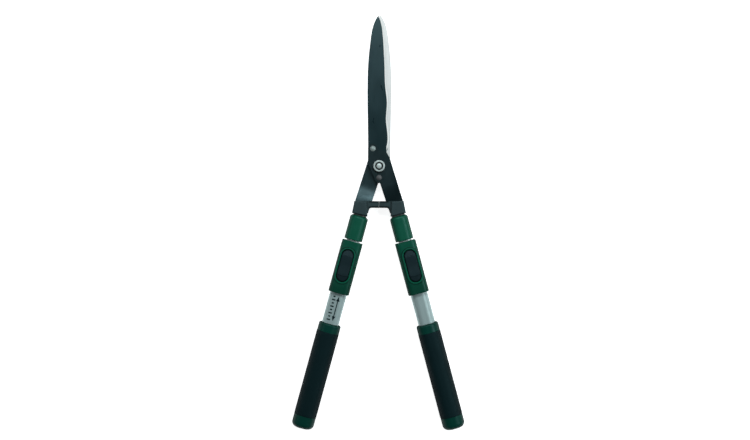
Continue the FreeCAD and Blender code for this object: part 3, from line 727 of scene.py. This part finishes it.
def build_grip(low, high, bore):
    """A sleeve with rounded ends over the tube, in the handle's frame."""
    width, depth = high.x - low.x, high.z - low.z

    def build(shape):
        rings = []
        turns, body = GRIP_STEPS
        between = high.y - low.y - 2 * GRIP_LIP
        for n in range(turns + 1):
            a = math.pi / 2 * n / turns
            rings.append((low.y + GRIP_LIP * (1 - math.cos(a)), GRIP_LIP * (1 - math.sin(a))))
        rings += [(low.y + GRIP_LIP + between * n / body, 0.0) for n in range(1, body)]
        rings += [(low.y + high.y - y, inward) for y, inward in reversed(rings[: turns + 1])]
        rows = []
        for y, inward in rings:
            seam = GRIP_SEAM if inward == 0.0 else 0.0
            oval = oval_ring(width - 2 * (inward + GRIP_SEAM), depth - 2 * inward, seam)
            rows.append([shape.verts.new((x, y, z)) for x, z in oval])
        for y in (high.y, low.y):
            rows.append([shape.verts.new((x, y, z)) for x, z in oval_ring(*bore)])
        bridge(shape, rows + rows[:1], closed=True)

    return build


def grips():
    """The two rubber grips, in place of their plain CAD sleeves."""
    finish = rubber("Grip_Rubber", srgb(6, 27, 30), 0.66, 0.9 * MM)
    for side in SIDES:
        tube_low, tube_high = handle_box(side, f"{side}_outer_tube")
        bore = (tube_high.x - tube_low.x, tube_high.z - tube_low.z)
        name = f"{side}_grip"
        new_piece(
            f"{side}_grip_sleeve", build_grip(*handle_box(side, name), bore), finish,
            f"{side}_lower_handle", (name,), handle_axes(side),
        )


# --- buffer ----------------------------------------------------------------------

PAD_RIBS = 4
PAD_GROOVE = 0.25 * MM  # depth between the ribs
PAD_STEPS = (32, 12)  # segments along and across


def build_buffer(low, high):
    """A small rubber block with shallow ribs across its top."""
    def build(shape):
        size, middle = high - low, (high + low) / 2
        bmesh.ops.create_grid(shape, x_segments=PAD_STEPS[0], y_segments=PAD_STEPS[1], size=0.5)
        for v in shape.verts:
            v.co.x *= size.x
            v.co.y *= size.y
            rib = abs(math.cos(math.pi * PAD_RIBS * v.co.x / size.x))
            v.co.z = size.z / 2 - PAD_GROOVE * (1 - rib)
        outline = [e for e in shape.edges if e.is_boundary]
        made = bmesh.ops.extrude_edge_only(shape, edges=outline)["geom"]
        for v in (v for v in made if isinstance(v, bmesh.types.BMVert)):
            v.co.z = -size.z / 2
        bmesh.ops.holes_fill(shape, edges=[e for e in shape.edges if e.is_boundary])
        bmesh.ops.translate(shape, verts=shape.verts, vec=middle)

    return build


def buffer():
    """The rubber buffer on the right arm's end."""
    finish = rubber("Buffer_Rubber", srgb(46, 56, 57), 0.7, 0.7 * MM)
    new_piece(
        "bumper_block", build_buffer(*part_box("bumper_pad")), finish, "right_half",
        ("bumper_pad",),
    )


# --- print -----------------------------------------------------------------------

PRINT_LENGTH = 42.0 * MM
PRINT_RISE = 0.04 * MM  # how far it stands proud of the tube
PRINT_SUNK = 0.3 * MM  # and how deep it reaches below its surface
PRINT_STRIPS = 4  # across each mark, so that it follows the tube
ARROW_AT = 2.6 * MM  # the arrow's line beside the tube's middle
ARROW_SHAFT = 1.7 * MM  # its width
ARROW_HEAD = (6.0 * MM, 8.0 * MM)  # width, length
ARROW_POINT = 0.1 * MM  # half width of its tip
TICKS_AT = -4.8 * MM  # middle of the row of ticks, beside the tube's middle
TICK_LONG = 6.0 * MM  # length across the tube
TICK_SHORT = 3.75 * MM
TICK_THICK = 2.4 * MM
TICK_COUNT = 8
TICK_INSET = 1.0 * MM  # from the arrow's tips to the middles of the first and the last tick


def build_print(low, high, bare):
    """A two-headed arrow beside a row of stop marks, wrapped on the front of an oval tube."""
    r = (high.z - low.z) / 2
    flat = (high.x - low.x) / 2 - r
    centre = sum(bare) / 2

    def on_tube(x, y, out):
        """A point on the tube's front, moved outwards."""
        beyond = max(0.0, abs(x) - flat)
        a = math.asin(min(1.0, beyond / r))
        across = math.copysign(min(abs(x), flat) + (r + out) * math.sin(a), x)
        return (across, centre + y, (r + out) * math.cos(a))

    def patch(shape, outline):
        """One printed mark: strips between its left and right outlines, (y, left, right) each."""
        rows = []
        for y, left, right in outline:
            xs = [left + (right - left) * n / PRINT_STRIPS for n in range(PRINT_STRIPS + 1)]
            top = [shape.verts.new(on_tube(x, y, PRINT_RISE)) for x in xs]
            under = [shape.verts.new(on_tube(x, y, -PRINT_SUNK)) for x in reversed(xs)]
            rows.append(top + under)
        bridge(shape, rows, closed=True)
        for row in (rows[0], rows[-1]):
            shape.faces.new(row)

    def build(shape):
        half = PRINT_LENGTH / 2
        wide, long = ARROW_HEAD
        shaft = (ARROW_AT - ARROW_SHAFT / 2, ARROW_AT + ARROW_SHAFT / 2)
        for way in (1, -1):
            patch(shape, [
                (way * (half - long), ARROW_AT - wide / 2, ARROW_AT + wide / 2),
                (way * half, ARROW_AT - ARROW_POINT, ARROW_AT + ARROW_POINT),
            ])
        patch(shape, [(long - half, *shaft), (half - long, *shaft)])
        for n in range(TICK_COUNT):
            y = (n / (TICK_COUNT - 1) - 0.5) * (PRINT_LENGTH - 2 * TICK_INSET)
            reach = (TICK_SHORT if n % 2 else TICK_LONG) / 2
            patch(shape, [
                (y - TICK_THICK / 2, TICKS_AT - reach, TICKS_AT + reach),
                (y + TICK_THICK / 2, TICKS_AT - reach, TICKS_AT + reach),
            ])

    return build


def tube_print():
    """Plain stop marks on the left tube, between the housing and the grip's collar."""
    tube = handle_box("left", "left_outer_tube")
    bare = (handle_box("left", "left_lock_housing")[0].y, handle_box("left", "left_grip_collar")[1].y)
    ink = plastic("Print_Black", srgb(10, 26, 30), 0.55, 0.8 * MM, wear=0.05)
    new_piece(
        "left_tube_marks", build_print(*tube, bare), ink, "left_lower_handle",
        frame_matrix=handle_axes("left"),
    )


rockers()
leaf_springs()
grips()
buffer()
tube_print()


# --- stage, light and camera ---------------------------------------------------

STAGE_GLOW = 0.86  # light of its own that makes the floor and the wall pale
FLOOR_REACH = 4.0  # half its side
FLOOR_GAP = 0.2 * MM  # below the object
WALL_RADIUS = 3.8
WALL_HEIGHT = 6.0  # half of it below the floor
WALL_SIDES = 96
SKY_STRENGTH = 0.1
LAMP_COLOUR = (0.9, 0.985, 1.0)
MIDDLE = tuple((cad_low + cad_high) / 2)
LAMPS = (  # name, place, what it points at, width and depth, watts
    ("Head_Lamp", (0.05, 0.86, 1.15), (0.0, 0.15, 0.0), (1.1, 0.5), 10.4),
    ("Right_Lamp", (0.95, 0.1, 1.0), MIDDLE, (1.0, 0.4), 8),
    ("Left_Lamp", (-1.3, 0.1, 1.0), MIDDLE, (1.0, 0.8), 2),
)
CAMERA_AT = (-6.7 * MM, 4.0 * MM, 1.61)
CAMERA_ROLL = math.radians(0.2)
LENS = 45.0


def area_light(name, place, aim, size, power):
    """A soft rectangular lamp pointed at a spot on the object."""
    lamp = bpy.data.lights.new(name, "AREA")
    lamp.shape = "RECTANGLE"
    lamp.size, lamp.size_y = size
    lamp.energy = power
    lamp.color = LAMP_COLOUR
    holder = bpy.data.objects.new(name, lamp)
    holder.location = place
    holder.rotation_euler = (Vector(aim) - Vector(place)).to_track_quat("-Z", "Y").to_euler()
    holder.visible_camera = False
    bpy.context.scene.collection.objects.link(holder)


def floor():
    """A wide pale floor just under the object."""
    mesh = bpy.data.meshes.new("Floor")
    corners = [(-1, -1), (1, -1), (1, 1), (-1, 1)]
    z = cad_low.z - FLOOR_GAP
    mesh.from_pydata([(x * FLOOR_REACH, y * FLOOR_REACH, z) for x, y in corners], [], [(0, 1, 2, 3)])
    made = bpy.data.objects.new("Floor", mesh)
    bpy.context.scene.collection.objects.link(made)
    f = Finish("Floor_White")
    f.set(Base_Color=(0.93, 0.93, 0.93, 1), Roughness=0.9, Specular_IOR_Level=0.1)
    f.set(Emission_Color=(1, 1, 1, 1), Emission_Strength=STAGE_GLOW)
    mesh.materials.append(f.material)


def backdrop():
    """A pale round wall far beyond the object, which casts no light or shadow on it."""
    mesh = bpy.data.meshes.new("Backdrop")
    shape = bmesh.new()
    bmesh.ops.create_cone(
        shape, segments=WALL_SIDES, radius1=WALL_RADIUS, radius2=WALL_RADIUS, depth=WALL_HEIGHT
    )
    shape.to_mesh(mesh)
    shape.free()
    made = bpy.data.objects.new("Backdrop", mesh)
    bpy.context.scene.collection.objects.link(made)
    made.visible_diffuse = made.visible_glossy = made.visible_shadow = False
    f = Finish("Backdrop_White")
    f.set(Base_Color=(0, 0, 0, 1), Roughness=1.0, Specular_IOR_Level=0.0)
    f.set(Emission_Color=(0.97, 0.985, 1, 1), Emission_Strength=STAGE_GLOW)
    mesh.materials.append(f.material)


def studio():
    """Dim even surroundings and three soft lamps: head, right and left."""
    world = bpy.data.worlds.new("Studio")
    bpy.context.scene.world = world
    world.use_nodes = True
    background = world.node_tree.nodes["Background"]
    background.inputs["Color"].default_value = (0.93, 0.97, 1.0, 1)
    background.inputs["Strength"].default_value = SKY_STRENGTH
    for lamp in LAMPS:
        area_light(*lamp)


def camera():
    """A camera looking straight down, the blades pointing up the picture."""
    lens = bpy.data.cameras.new("Camera")
    lens.lens = LENS
    made = bpy.data.objects.new("Camera", lens)
    made.location = CAMERA_AT
    made.rotation_euler = (0, 0, CAMERA_ROLL)
    bpy.context.scene.collection.objects.link(made)
    bpy.context.scene.camera = made


floor()
backdrop()
studio()
camera()
bpy.context.scene.view_settings.view_transform = "Standard"
